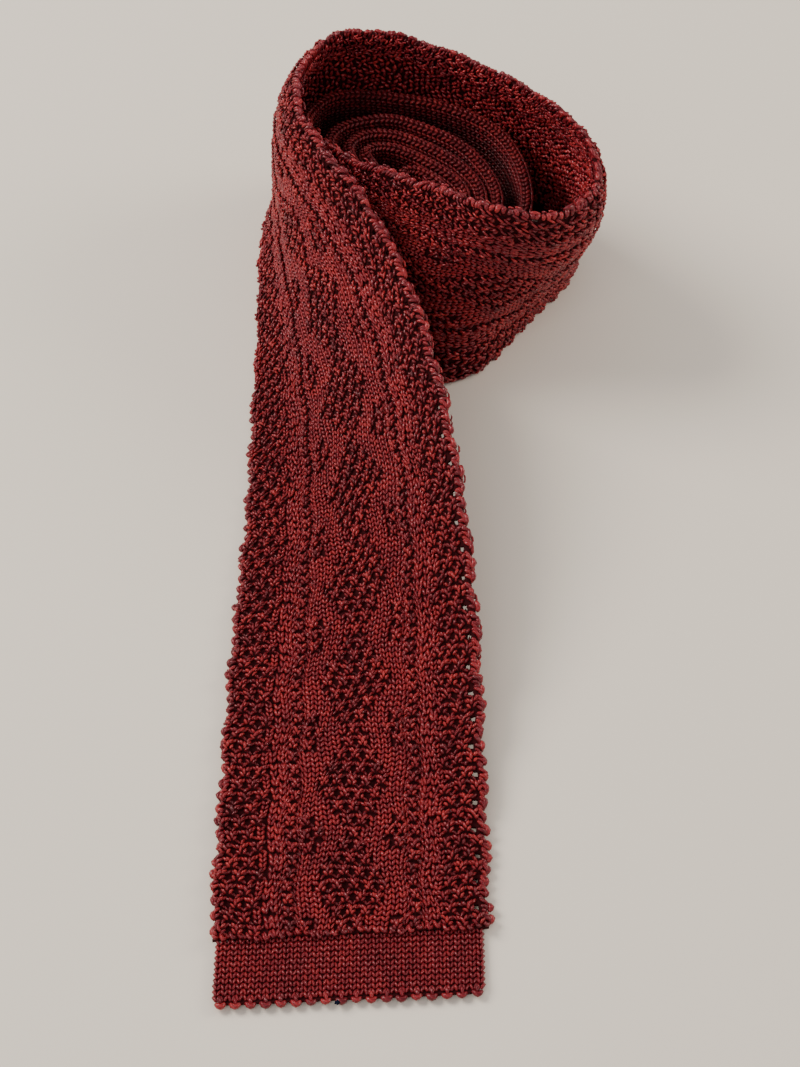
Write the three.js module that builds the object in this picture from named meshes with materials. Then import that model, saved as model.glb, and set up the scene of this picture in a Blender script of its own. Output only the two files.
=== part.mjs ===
// A knit tie lying as it was photographed: the wide blade flat on the table, the rest wound
// clockwise into a coil that stands on its edge. One strip of cloth is followed along its middle
// line, and three bodies are cut from it: the hem band, the patterned blade and the plain neck band.
import * as THREE from 'three';

// Driving sizes, in millimetres.
const BLADE_WIDTH = 60;      // width of the patterned blade where it lies flat
const NECK_WIDTH = 38;       // width of the plain neck band in the coil
const BLADE_CLOTH = 3.3;     // thickness of the patterned knit
const NECK_CLOTH = 3.2;      // thickness of the plain knit band
const HEM_CLOTH = 2.0;       // thickness of the hem band, which is thinner
const HEM_WIDTH = 57.4;      // width of the hem band
const HEM_DEPTH = 16.2;      // length of the hem band that shows past the blade
const HEM_CORNER = 3.0;      // radius of the two corners of the hem
const FLAT_RUN = 130;        // how far the blade runs before the coil
const COIL_SIZE = 100;       // the plan places of the coil are shares of this
const SEAM_GAP = 0.3;        // gap between one body and the next
const ROUND_SHARE = 0.5;     // rounding of the strip's edges, as a share of its thickness

// Steps of the meshes.
const STEPS_BLADE = 4;       // sections between two rows of the table
const STEPS_NECK = 3;
const ACROSS_BLADE = 8;      // plain faces across the blade
const ACROSS_NECK = 2;

// The blade, a row per place along its middle line.
// across, along: the place in plan, as shares of COIL_SIZE from the coil's middle.
// run: the share of FLAT_RUN by which the place is moved toward the hem.
// low, mid, high: how far the cloth is tilted up from the table, in degrees, at its left edge,
// at its middle and at its right edge; 90 stands upright, more leans outward.
// body: 1 is as wide as the blade, 0 as wide as the neck band.
const BLADE_ROWS = [
  { across: -0.142, along: -0.866, run: 1.00, low: 0, mid: 0, high: 0, body: 1.00 },
  { across: -0.142, along: -0.816, run: 0.90, low: 0, mid: 0, high: 0, body: 1.00 },
  { across: -0.141, along: -0.761, run: 0.78, low: 0, mid: 2, high: 6, body: 1.00 },
  { across: -0.140, along: -0.707, run: 0.62, low: 0, mid: 8, high: 17, body: 1.00 },
  { across: -0.138, along: -0.661, run: 0.42, low: 3, mid: 19, high: 29, body: 1.00 },
  { across: -0.147, along: -0.619, run: 0.20, low: 8, mid: 33, high: 39, body: 0.98 },
  { across: -0.184, along: -0.505, run: 0.04, low: 18, mid: 47, high: 46, body: 0.95 },
  { across: -0.253, along: -0.269, run: 0.00, low: 31, mid: 66, high: 50, body: 0.91 },
  { across: -0.329, along: -0.033, run: 0.00, low: 42, mid: 85, high: 54, body: 0.87 },
  { across: -0.367, along: 0.182, run: 0.00, low: 56, mid: 90, high: 52, body: 0.84 },
  { across: -0.340, along: 0.354, run: 0.00, low: 67, mid: 87, high: 55, body: 0.80 },
  { across: -0.224, along: 0.471, run: 0.00, low: 80, mid: 88, high: 65, body: 0.80 },
  { across: -0.047, along: 0.483, run: 0.00, low: 87, mid: 82, high: 75, body: 0.79 },
  { across: 0.179, along: 0.391, run: 0.00, low: 89, mid: 75, high: 77, body: 0.79 },
  { across: 0.378, along: 0.231, run: 0.00, low: 88, mid: 74, high: 74, body: 0.79 },
  { across: 0.457, along: 0.050, run: 0.00, low: 97, mid: 90, high: 66, body: 0.80 },
  { across: 0.445, along: -0.115, run: 0.00, low: 101, mid: 113, high: 69, body: 0.82 },
  { across: 0.368, along: -0.247, run: 0.00, low: 97, mid: 119, high: 81, body: 0.86 },
  { across: 0.238, along: -0.334, run: 0.00, low: 91, mid: 105, high: 82, body: 0.88 },
  { across: 0.097, along: -0.336, run: 0.00, low: 78, mid: 82, high: 83, body: 0.88 },
  { across: -0.056, along: -0.240, run: 0.00, low: 78, mid: 75, high: 83, body: 0.79 },
  { across: -0.181, along: -0.115, run: 0.00, low: 77, mid: 76, high: 85, body: 0.63 },
  { across: -0.269, along: 0.032, run: 0.00, low: 78, mid: 79, high: 84, body: 0.42 },
  { across: -0.320, along: 0.202, run: 0.00, low: 80, mid: 80, high: 81, body: 0.20 },
];

// The neck band, turn by turn: across and along as above, then the tilt of the whole width.
const NECK_TURNS = {
  first: [
    [-0.297, 0.339, 82], [-0.231, 0.410, 82], [-0.123, 0.429, 81], [-0.018, 0.409, 81],
    [0.091, 0.370, 82], [0.224, 0.263, 85], [0.275, 0.118, 92], [0.283, -0.017, 97],
    [0.266, -0.136, 99], [0.214, -0.221, 96], [0.118, -0.279, 86], [-0.009, -0.226, 80],
    [-0.112, -0.138, 78], [-0.193, -0.038, 78],
  ],
  second: [
    [-0.235, 0.069, 80], [-0.253, 0.178, 82], [-0.203, 0.272, 82], [-0.082, 0.312, 82],
    [0.013, 0.285, 82], [0.115, 0.203, 85], [0.176, 0.100, 90], [0.207, -0.018, 94],
    [0.207, -0.116, 95], [0.174, -0.187, 93], [0.096, -0.228, 86], [0.004, -0.176, 80],
    [-0.081, -0.103, 79], [-0.149, -0.013, 80],
  ],
  third: [
    [-0.182, 0.077, 81], [-0.197, 0.167, 82], [-0.137, 0.235, 82], [-0.042, 0.237, 82],
    [0.046, 0.187, 82], [0.112, 0.111, 86], [0.151, 0.034, 91], [0.168, -0.035, 94],
    [0.167, -0.101, 94], [0.139, -0.145, 92], [0.080, -0.170, 85], [0.009, -0.125, 79],
    [-0.058, -0.064, 79], [-0.109, 0.010, 80],
  ],
  fourth: [
    [-0.134, 0.078, 82], [-0.149, 0.140, 83], [-0.099, 0.180, 83], [-0.036, 0.171, 83],
    [0.025, 0.132, 83], [0.079, 0.066, 87], [0.114, 0.007, 91], [0.128, -0.047, 93],
    [0.127, -0.086, 93], [0.109, -0.107, 90], [0.068, -0.104, 84], [0.015, -0.067, 79],
    [-0.029, -0.020, 80], [-0.050, 0.022, 82],
  ],
  core: [
    [-0.026, 0.064, 85], [0.020, 0.062, 86], [0.056, 0.025, 88], [0.078, -0.018, 91],
  ],
};

// Every place of the strip in one list, in millimetres and radians.
function stripPlaces() {
  const rows = [...BLADE_ROWS];
  for (const turn of Object.values(NECK_TURNS)) {
    for (const [across, along, tilt] of turn) {
      rows.push({ across, along, run: 0, low: tilt, mid: tilt, high: tilt, body: 0 });
    }
  }
  return rows.map((row) => [
    row.across * COIL_SIZE,
    row.along * COIL_SIZE - row.run * FLAT_RUN,
    THREE.MathUtils.degToRad(row.low),
    THREE.MathUtils.degToRad(row.mid),
    THREE.MathUtils.degToRad(row.high),
    NECK_WIDTH + (BLADE_WIDTH - NECK_WIDTH) * row.body,
  ]);
}

// Control places of a cubic spline that passes through every given place.
function splineControls(places) {
  const count = places.length;
  const controls = places.map((place) => [...place]);
  const upper = new Array(count).fill(0);
  const side = 1 / 6;
  for (let i = 1; i < count - 1; i += 1) {
    const weight = 4 / 6 - side * upper[i - 1];
    upper[i] = side / weight;
    controls[i] = places[i].map((value, k) => (value - side * controls[i - 1][k]) / weight);
  }
  for (let i = count - 2; i > 0; i -= 1) {
    controls[i] = controls[i].map((value, k) => value - upper[i] * controls[i + 1][k]);
  }
  const before = controls[0].map((value, k) => 2 * value - controls[1][k]);
  const last = controls[count - 1];
  const after = last.map((value, k) => 2 * value - controls[count - 2][k]);
  return [before, ...controls, after];
}

const PLACES = stripPlaces();
const CONTROLS = splineControls(PLACES);

// The strip's state at a place counted in rows, such as 2.5 for halfway between two rows.
function stateAt(row) {
  const i = Math.min(Math.floor(row), PLACES.length - 2);
  const u = row - i;
  const weights = [
    (1 - u) ** 3 / 6,
    (3 * u ** 3 - 6 * u ** 2 + 4) / 6,
    (-3 * u ** 3 + 3 * u ** 2 + 3 * u + 1) / 6,
    u ** 3 / 6,
  ];
  const state = PLACES[0].map(
    (_, k) => weights.reduce((sum, w, j) => sum + w * CONTROLS[i + j][k], 0),
  );
  const [x, y, low, mid, high, width] = state;
  return [x, y, Math.max(0, low), Math.max(0, mid), Math.max(0, high), width];
}

// The tilt at a share of the width, from the tilts at the left edge, the middle and the right.
function tiltAt(low, mid, high, share) {
  const left = (1 - share) * (1 - 2 * share);
  const centre = 4 * share * (1 - share);
  const right = share * (2 * share - 1);
  return low * left + mid * centre + high * right;
}

// Shares of the width at which a section has its points, with how thick the strip is there.
function stations(width, cloth, across) {
  const round = cloth * ROUND_SHARE;
  const edge = [
    [0, 0],
    [0.14, 0.5],
    [0.5, 0.86],
    [1, 1],
  ].map(([place, full]) => [(place * round) / width, full]);
  const middle = [];
  for (let k = 1; k < across; k += 1) {
    const share = round / width + (k / across) * (1 - (2 * round) / width);
    middle.push([share, 1]);
  }
  const far = edge.map(([share, full]) => [1 - share, full]).reverse();
  return [...edge, ...middle, ...far];
}

// One section: the points of its front face and of its back face, edge to edge.
function sectionAt(row, cloth, across) {
  const [x, y, low, mid, high, width] = stateAt(row);
  const step = 0.02;
  const ahead = stateAt(Math.min(row + step, PLACES.length - 1));
  const behind = stateAt(Math.max(row - step, 0));
  const heading = new THREE.Vector2(ahead[0] - behind[0], ahead[1] - behind[1]).normalize();
  const right = new THREE.Vector2(heading.y, -heading.x);
  const list = stations(width, cloth, across);
  const fine = 96;
  const reach = [[0, 0]];
  for (let k = 0; k < fine; k += 1) {
    const tilt = tiltAt(low, mid, high, (k + 0.5) / fine);
    const [flat, rise] = reach[k];
    reach.push([flat + (Math.cos(tilt) * width) / fine, rise + (Math.sin(tilt) * width) / fine]);
  }
  const centre = reach[fine / 2][0];
  const lift = (cloth / 2) * Math.abs(Math.cos(low));
  const front = [];
  const back = [];
  for (const [share, full] of list) {
    const at = Math.min(share * fine, fine - 1e-9);
    const k = Math.floor(at);
    const u = at - k;
    const flat = reach[k][0] * (1 - u) + reach[k + 1][0] * u - centre;
    const rise = reach[k][1] * (1 - u) + reach[k + 1][1] * u + lift;
    const tilt = tiltAt(low, mid, high, share);
    const half = (cloth / 2) * full;
    for (const [side, points] of [[1, front], [-1, back]]) {
      const f = flat - Math.sin(tilt) * half * side;
      const z = rise + Math.cos(tilt) * half * side;
      points.push([x + right.x * f, y + right.y * f, z]);
    }
  }
  return { front, back };
}

// A closed body through a list of sections; both ends are closed flat.
function bodyThrough(sections) {
  const last = sections[0].front.length - 1;
  const ring = 2 * last;
  const positions = [];
  for (const { front, back } of sections) {
    for (let k = 0; k <= last; k += 1) positions.push(...front[k]);
    for (let k = last - 1; k >= 1; k -= 1) positions.push(...back[k]);
  }
  const index = [];
  for (let s = 0; s < sections.length - 1; s += 1) {
    for (let k = 0; k < ring; k += 1) {
      const a = s * ring + k;
      const b = s * ring + ((k + 1) % ring);
      const c = a + ring;
      const d = b + ring;
      index.push(a, b, d, a, d, c);
    }
  }
  const closeEnd = (start, flip) => {
    const quad = (a, b, c) => (flip ? index.push(a, c, b) : index.push(a, b, c));
    const under = (k) => start + ((ring - k) % ring);
    quad(start, start + 1, under(1));
    for (let k = 1; k < last - 1; k += 1) {
      quad(start + k, start + k + 1, under(k + 1));
      quad(start + k, under(k + 1), under(k));
    }
    quad(start + last - 1, start + last, under(last - 1));
  };
  closeEnd(0, true);
  closeEnd((sections.length - 1) * ring, false);
  const geometry = new THREE.BufferGeometry();
  geometry.setAttribute('position', new THREE.Float32BufferAttribute(positions, 3));
  geometry.setIndex(index);
  geometry.computeVertexNormals();
  return geometry;
}

// Places of the sections between two rows, evenly stepped.
function rowsBetween(from, to, steps) {
  const count = Math.ceil((to - from) * steps);
  const rows = [];
  for (let k = 0; k <= count; k += 1) rows.push(from + ((to - from) * k) / count);
  return rows;
}

// The row at which the strip's middle line is a given length past a row.
function rowPast(row, length) {
  const [x, y] = stateAt(row);
  const [x2, y2] = stateAt(row + 0.05);
  return row + (0.05 * length) / Math.hypot(x2 - x, y2 - y);
}

// The hem band: a flat plate with two rounded corners at its free end.
function hemGeometry(centreX, blendY) {
  const half = HEM_WIDTH / 2;
  const shape = new THREE.Shape();
  shape.moveTo(centreX - half, blendY);
  shape.lineTo(centreX - half, blendY - HEM_DEPTH + HEM_CORNER);
  shape.absarc(
    centreX - half + HEM_CORNER,
    blendY - HEM_DEPTH + HEM_CORNER,
    HEM_CORNER,
    Math.PI,
    1.5 * Math.PI,
    false,
  );
  shape.absarc(
    centreX + half - HEM_CORNER,
    blendY - HEM_DEPTH + HEM_CORNER,
    HEM_CORNER,
    1.5 * Math.PI,
    2 * Math.PI,
    false,
  );
  shape.lineTo(centreX + half, blendY);
  shape.closePath();
  return new THREE.ExtrudeGeometry(shape, {
    depth: HEM_CLOTH,
    bevelEnabled: false,
    curveSegments: 6,
  });
}

function clothMaterial(name, color) {
  return new THREE.MeshStandardMaterial({ name, color, roughness: 0.72, metalness: 0 });
}

function addPart(group, name, geometry, material) {
  const mesh = new THREE.Mesh(geometry, material);
  mesh.name = name;
  group.add(mesh);
  return mesh;
}

const bladeEnd = BLADE_ROWS.length - 1;
const neckEnd = PLACES.length - 1;
const neckStart = rowPast(bladeEnd, SEAM_GAP);

const group = new THREE.Group();
group.name = 'knit_tie';

const bladeSections = rowsBetween(0, bladeEnd, STEPS_BLADE)
  .map((row) => sectionAt(row, BLADE_CLOTH, ACROSS_BLADE));
addPart(group, 'blade', bodyThrough(bladeSections), clothMaterial('silk_knit_pattern', 0x7d2620));

const neckSections = rowsBetween(neckStart, neckEnd, STEPS_NECK)
  .map((row) => sectionAt(row, NECK_CLOTH, ACROSS_NECK));
addPart(group, 'neck_band', bodyThrough(neckSections), clothMaterial('silk_knit_plain', 0x6e211d));

const [startX, startY] = stateAt(0);
const hem = hemGeometry(startX, startY - SEAM_GAP);
addPart(group, 'hem_band', hem, clothMaterial('silk_knit_hem', 0x77241f));

// The finished tie stands on the table with the middle of its box over the origin.
const box = new THREE.Box3();
group.children.forEach((mesh) => {
  mesh.geometry.computeBoundingBox();
  box.union(mesh.geometry.boundingBox);
});
const middle = box.getCenter(new THREE.Vector3());
group.children.forEach((mesh) => mesh.geometry.translate(-middle.x, -middle.y, -box.min.z));

export default group;
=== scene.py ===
# %% [markdown]
# # A knitted tie, partly rolled up
# The part is one long strip of knitting. Its wide end lies flat, then the strip stands up on its
# edge and winds into a coil. The solids from the CAD are plain strips of the right size. This
# script dresses them: it works out the same strip, lays a thin cloth in it, and covers the cloth
# with every stitch as a small strand of yarn, so that light and shade fall as they do on a real
# knit.

# %% Load the fixed frame
import math
import random

import bmesh
import bpy
import numpy as np
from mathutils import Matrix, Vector


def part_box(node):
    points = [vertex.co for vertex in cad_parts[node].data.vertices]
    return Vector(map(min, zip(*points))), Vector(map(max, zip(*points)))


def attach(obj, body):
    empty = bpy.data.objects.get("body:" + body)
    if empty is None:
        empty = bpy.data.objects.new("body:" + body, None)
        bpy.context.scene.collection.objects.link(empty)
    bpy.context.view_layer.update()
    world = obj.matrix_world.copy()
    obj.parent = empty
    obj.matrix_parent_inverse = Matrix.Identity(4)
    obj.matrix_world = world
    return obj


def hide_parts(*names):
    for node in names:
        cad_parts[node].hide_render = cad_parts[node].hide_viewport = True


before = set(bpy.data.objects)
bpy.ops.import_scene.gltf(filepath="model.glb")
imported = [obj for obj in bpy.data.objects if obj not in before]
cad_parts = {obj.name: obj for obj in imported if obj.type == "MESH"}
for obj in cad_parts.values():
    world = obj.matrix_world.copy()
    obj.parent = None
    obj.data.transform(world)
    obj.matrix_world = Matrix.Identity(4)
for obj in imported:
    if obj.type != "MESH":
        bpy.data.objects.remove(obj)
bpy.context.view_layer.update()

# %% [markdown]
# ## Camera
# The photo was taken from in front and above. The focal length is written for the long side of
# the picture, because Blender measures the sensor along it.

# %% Make the camera
CAMERA_PLACE = (-0.0064, -0.4232, 0.4335)
CAMERA_DOWN = 46                # degrees below the horizon
PHOTO_HEIGHT_PX = 1067
FOCAL_PX = 2400
SENSOR = 36.0                   # mm, Blender's usual sensor

camera_data = bpy.data.cameras.new("photo_camera")
camera_data.sensor_width = SENSOR
camera_data.lens = SENSOR * FOCAL_PX / PHOTO_HEIGHT_PX
camera = bpy.data.objects.new("photo_camera", camera_data)
camera.location = CAMERA_PLACE
camera.rotation_euler = (math.radians(90 - CAMERA_DOWN), 0, 0)
bpy.context.scene.collection.objects.link(camera)
bpy.context.scene.camera = camera
print("lens", round(camera_data.lens, 2), "mm")

# %% [markdown]
# ## Light and floor
# A big soft light stands behind on the left, as a window would, so the coil's far wall and the
# left side are bright and the inside of the coil stays dark. A weak light on the right, another
# in front and a pale sky fill the shadows. The floor is a plain pale sheet.

# %% Floor, sky and lights
def area_light(name, place, aim, size, power, color):
    data = bpy.data.lights.new(name, "AREA")
    data.shape = "DISK"
    data.size = size
    data.energy = power
    data.color = color
    light = bpy.data.objects.new(name, data)
    light.location = place
    direction = Vector(aim) - Vector(place)
    light.rotation_euler = direction.to_track_quat("-Z", "Y").to_euler()
    bpy.context.scene.collection.objects.link(light)
    return light


COIL_HEART = (0.0, 0.08, 0.03)
FLAT_HEART = (0.0, -0.05, 0.0)
# name, place, aim, size in metres, power in watts, color
LIGHTS = [
    ("window_light", (-0.85, 0.30, 0.85), COIL_HEART, 0.7, 13, (1.0, 0.96, 0.91)),
    ("room_light", (0.80, 0.25, 0.50), COIL_HEART, 0.5, 3.5, (1.0, 0.90, 0.80)),
    ("front_light", (-0.30, -0.9, 0.9), FLAT_HEART, 0.7, 3.0, (1.0, 0.98, 0.95)),
]
for light_row in LIGHTS:
    area_light(*light_row)

SKY_COLOR = (0.9, 0.93, 1.0, 1)
SKY_STRENGTH = 0.55
world = bpy.data.worlds.new("pale_room")
world.use_nodes = True
world.node_tree.nodes["Background"].inputs["Color"].default_value = SKY_COLOR
world.node_tree.nodes["Background"].inputs["Strength"].default_value = SKY_STRENGTH
bpy.context.scene.world = world

FLOOR_HALF = 2.5                # metres from the middle of the floor to its sides
FLOOR_COLOR = (0.90, 0.80, 0.665, 1)
floor_bm = bmesh.new()
bmesh.ops.create_grid(floor_bm, x_segments=1, y_segments=1, size=FLOOR_HALF)
floor_mesh = bpy.data.meshes.new("floor")
floor_bm.to_mesh(floor_mesh)
floor_bm.free()
floor = bpy.data.objects.new("floor", floor_mesh)
bpy.context.scene.collection.objects.link(floor)

floor_finish = bpy.data.materials.new("pale_floor")
floor_finish.use_nodes = True
floor_shader = floor_finish.node_tree.nodes["Principled BSDF"]
floor_shader.inputs["Base Color"].default_value = FLOOR_COLOR
floor_shader.inputs["Roughness"].default_value = 0.95
floor_mesh.materials.append(floor_finish)
print("lights:", len(LIGHTS), "and a sky of strength", SKY_STRENGTH)

# %% [markdown]
# ## The strip
# The same table that shapes the solids is repeated here. Each row is a place of the strip's
# middle line, with the tilt of the cloth at its left edge, its middle and its right edge. A
# smooth spline runs through the rows. From it two maps are worked out: the place of the cloth's
# middle surface and the direction its front faces, at any length along and share across.

# %% Sizes and the table of the strip
MM = 0.001
BLADE_WIDTH = 60 * MM
NECK_WIDTH = 38 * MM
FLAT_RUN = 130 * MM
COIL_SIZE = 100 * MM
BLADE_CLOTH = 3.3 * MM
SEAM_GAP = 0.3 * MM
HEM_WIDTH = 57.4 * MM
HEM_DEPTH = 16.2 * MM
HEM_CORNER = 3.0 * MM

# across, along: plan place as shares of COIL_SIZE; run: share of FLAT_RUN toward the hem;
# low, mid, high: tilts in degrees; body: 1 as wide as the blade, 0 as wide as the neck band
BLADE_ROWS = [
    (-0.142, -0.866, 1.00, 0, 0, 0, 1.00),
    (-0.142, -0.816, 0.90, 0, 0, 0, 1.00),
    (-0.141, -0.761, 0.78, 0, 2, 6, 1.00),
    (-0.140, -0.707, 0.62, 0, 8, 17, 1.00),
    (-0.138, -0.661, 0.42, 3, 19, 29, 1.00),
    (-0.147, -0.619, 0.20, 8, 33, 39, 0.98),
    (-0.184, -0.505, 0.04, 18, 47, 46, 0.95),
    (-0.253, -0.269, 0.00, 31, 66, 50, 0.91),
    (-0.329, -0.033, 0.00, 42, 85, 54, 0.87),
    (-0.367, 0.182, 0.00, 56, 90, 52, 0.84),
    (-0.340, 0.354, 0.00, 67, 87, 55, 0.80),
    (-0.224, 0.471, 0.00, 80, 88, 65, 0.80),
    (-0.047, 0.483, 0.00, 87, 82, 75, 0.79),
    (0.179, 0.391, 0.00, 89, 75, 77, 0.79),
    (0.378, 0.231, 0.00, 88, 74, 74, 0.79),
    (0.457, 0.050, 0.00, 97, 90, 66, 0.80),
    (0.445, -0.115, 0.00, 101, 113, 69, 0.82),
    (0.368, -0.247, 0.00, 97, 119, 81, 0.86),
    (0.238, -0.334, 0.00, 91, 105, 82, 0.88),
    (0.097, -0.336, 0.00, 78, 82, 83, 0.88),
    (-0.056, -0.240, 0.00, 78, 75, 83, 0.79),
    (-0.181, -0.115, 0.00, 77, 76, 85, 0.63),
    (-0.269, 0.032, 0.00, 78, 79, 84, 0.42),
    (-0.320, 0.202, 0.00, 80, 80, 81, 0.20),
]

# The neck band, turn by turn: across, along, tilt of the whole width
NECK_PLACES = [
    (-0.297, 0.339, 82), (-0.231, 0.410, 82), (-0.123, 0.429, 81), (-0.018, 0.409, 81),
    (0.091, 0.370, 82), (0.224, 0.263, 85), (0.275, 0.118, 92), (0.283, -0.017, 97),
    (0.266, -0.136, 99), (0.214, -0.221, 96), (0.118, -0.279, 86), (-0.009, -0.226, 80),
    (-0.112, -0.138, 78), (-0.193, -0.038, 78),
    (-0.235, 0.069, 80), (-0.253, 0.178, 82), (-0.203, 0.272, 82), (-0.082, 0.312, 82),
    (0.013, 0.285, 82), (0.115, 0.203, 85), (0.176, 0.100, 90), (0.207, -0.018, 94),
    (0.207, -0.116, 95), (0.174, -0.187, 93), (0.096, -0.228, 86), (0.004, -0.176, 80),
    (-0.081, -0.103, 79), (-0.149, -0.013, 80),
    (-0.182, 0.077, 81), (-0.197, 0.167, 82), (-0.137, 0.235, 82), (-0.042, 0.237, 82),
    (0.046, 0.187, 82), (0.112, 0.111, 86), (0.151, 0.034, 91), (0.168, -0.035, 94),
    (0.167, -0.101, 94), (0.139, -0.145, 92), (0.080, -0.170, 85), (0.009, -0.125, 79),
    (-0.058, -0.064, 79), (-0.109, 0.010, 80),
    (-0.134, 0.078, 82), (-0.149, 0.140, 83), (-0.099, 0.180, 83), (-0.036, 0.171, 83),
    (0.025, 0.132, 83), (0.079, 0.066, 87), (0.114, 0.007, 91), (0.128, -0.047, 93),
    (0.127, -0.086, 93), (0.109, -0.107, 90), (0.068, -0.104, 84), (0.015, -0.067, 79),
    (-0.029, -0.020, 80), (-0.050, 0.022, 82),
    (-0.026, 0.064, 85), (0.020, 0.062, 86), (0.056, 0.025, 88), (0.078, -0.018, 91),
]

# %% Spline through the rows
table = np.array(BLADE_ROWS + [(x, y, 0, t, t, t, 0) for x, y, t in NECK_PLACES])
places = np.column_stack([
    table[:, 0] * COIL_SIZE,
    table[:, 1] * COIL_SIZE - table[:, 2] * FLAT_RUN,
    np.radians(table[:, 3:6]),
    NECK_WIDTH + (BLADE_WIDTH - NECK_WIDTH) * table[:, 6],
])
last_row = len(places) - 1

spread = np.eye(len(places))
for i in range(1, last_row):
    spread[i, i - 1:i + 2] = (1 / 6, 4 / 6, 1 / 6)
controls = np.linalg.solve(spread, places)
controls = np.vstack([2 * controls[0] - controls[1], controls, 2 * controls[-1] - controls[-2]])


def strip_state(row):
    """Middle line's x, y, three tilts and width at places counted in rows."""
    i = np.minimum(np.floor(row).astype(int), last_row - 1)
    u = (row - i)[:, None]
    weights = (
        (1 - u) ** 3 / 6,
        (3 * u ** 3 - 6 * u ** 2 + 4) / 6,
        (-3 * u ** 3 + 3 * u ** 2 + 3 * u + 1) / 6,
        u ** 3 / 6,
    )
    state = sum(w * controls[i + k] for k, w in enumerate(weights))
    state[:, 2:5] = np.maximum(state[:, 2:5], 0)
    return state


ROW_STEP = 0.02                 # rows of the table from one worked-out section to the next
SHARES = 64                     # stretches that the width is cut into
rows = np.arange(0, last_row + ROW_STEP / 2, ROW_STEP)
state = strip_state(np.minimum(rows, last_row))
heading = strip_state(np.minimum(rows + ROW_STEP, last_row))[:, :2]
heading = heading - strip_state(np.maximum(rows - ROW_STEP, 0))[:, :2]
heading /= np.linalg.norm(heading, axis=1, keepdims=True)
along = np.concatenate([[0], np.cumsum(np.linalg.norm(np.diff(state[:, :2], axis=0), axis=1))])


def row_length(row):
    """Length of the middle line from the blade's free end to a row."""
    return float(np.interp(row, rows, along))


BLADE_LENGTH = row_length(len(BLADE_ROWS) - 1)
STRIP_LENGTH = row_length(last_row)
print("blade", round(BLADE_LENGTH, 4), "m, whole strip", round(STRIP_LENGTH, 4), "m")

# %% Map of the cloth's middle surface
share = np.linspace(0, 1, SHARES + 1)
mid_share = (share[1:] + share[:-1]) / 2


def tilt_at(at):
    low, mid, high = state[:, 2:3], state[:, 3:4], state[:, 4:5]
    return low * (1 - at) * (1 - 2 * at) + mid * 4 * at * (1 - at) + high * at * (2 * at - 1)


piece = state[:, 5:6] / SHARES
start = np.zeros((len(rows), 1))
flat = np.concatenate([start, np.cumsum(np.cos(tilt_at(mid_share)) * piece, axis=1)], axis=1)
rise = np.concatenate([start, np.cumsum(np.sin(tilt_at(mid_share)) * piece, axis=1)], axis=1)
flat -= flat[:, SHARES // 2:SHARES // 2 + 1]
rise += BLADE_CLOTH / 2 * np.abs(np.cos(state[:, 2:3]))

# the strip's own frame is moved so that its free end meets the CAD's hem
hem_low, hem_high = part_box("hem_band")
shift_x = (hem_low[0] + hem_high[0]) / 2 - state[0, 0]
shift_y = hem_high[1] + SEAM_GAP - state[0, 1]
right_x, right_y = heading[:, 1:2], -heading[:, 0:1]
surface = np.stack([
    state[:, 0:1] + right_x * flat + shift_x,
    state[:, 1:2] + right_y * flat + shift_y,
    rise,
], axis=-1)
tilt = tilt_at(share)
across_way = np.stack([right_x * np.cos(tilt), right_y * np.cos(tilt), np.sin(tilt)], axis=-1)
front_way = np.stack([-right_x * np.sin(tilt), -right_y * np.sin(tilt), np.cos(tilt)], axis=-1)


FLOOR_TOUCH = 0.03 * MM         # the lowest strands are pressed flat just above the floor


def lay_on_strip(x, s, h, width):
    """World places for cloth places: x across from the left edge, s along the strip and h out
    of the front face. The width is the cloth's own before it narrows."""
    inside = np.clip(x / width, 0, 1)
    i = np.interp(s, along, np.arange(len(rows)))
    i0 = np.minimum(i.astype(int), len(rows) - 2)
    j = inside * SHARES
    j0 = np.minimum(j.astype(int), SHARES - 1)
    fi, fj = (i - i0)[:, None], (j - j0)[:, None]

    def mix(field):
        near = field[i0, j0] * (1 - fj) + field[i0, j0 + 1] * fj
        far = field[i0 + 1, j0] * (1 - fj) + field[i0 + 1, j0 + 1] * fj
        return near * (1 - fi) + far * fi

    beyond = (x - inside * width)[:, None]
    laid = mix(surface) + mix(across_way) * beyond + mix(front_way) * h[:, None]
    laid[:, 1] += np.minimum(s, 0)      # past the free end the cloth goes straight on
    laid[:, 2] = np.maximum(laid[:, 2], FLOOR_TOUCH)
    return laid


END_SLANT = 0.055               # the free end isn't quite square: its left corner comes nearer
SLANT_RUN = 70 * MM             # the slant fades out over this length
HEM_MID = 1.0 * MM              # height of the hem cloth's middle above the floor
SWAY = 0.45 * MM                # rows and columns wander this far, as worn knitting does


def lay_on_blade(points):
    """Columns and rows wander a little; near the free end the rows slant."""
    x, s = points[:, 0], points[:, 1]
    fade = np.clip(1 - s / SLANT_RUN, 0, 1)
    swayed_x = x + SWAY * np.sin(s / (3.1 * MM) + 2 * np.sin(x / (7 * MM)))
    swayed_s = s + SWAY * np.sin(x / (2.3 * MM) + 3 * np.sin(s / (19 * MM)))
    swayed_s += END_SLANT * fade * (x - BLADE_WIDTH / 2)
    return lay_on_strip(swayed_x, swayed_s, points[:, 2], BLADE_WIDTH)


def lay_on_hem(points):
    """The hem lies flat in front of the blade; its length is counted back from the seam."""
    x = hem_low[0] + points[:, 0] * (HEM_WIDTH / BLADE_WIDTH)
    y = hem_high[1] + points[:, 1] + END_SLANT * (points[:, 0] - BLADE_WIDTH / 2)
    return np.column_stack([x, y, points[:, 2] + HEM_MID])


print("strip laid from the hem at y =", round(hem_high[1], 4))
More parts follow.
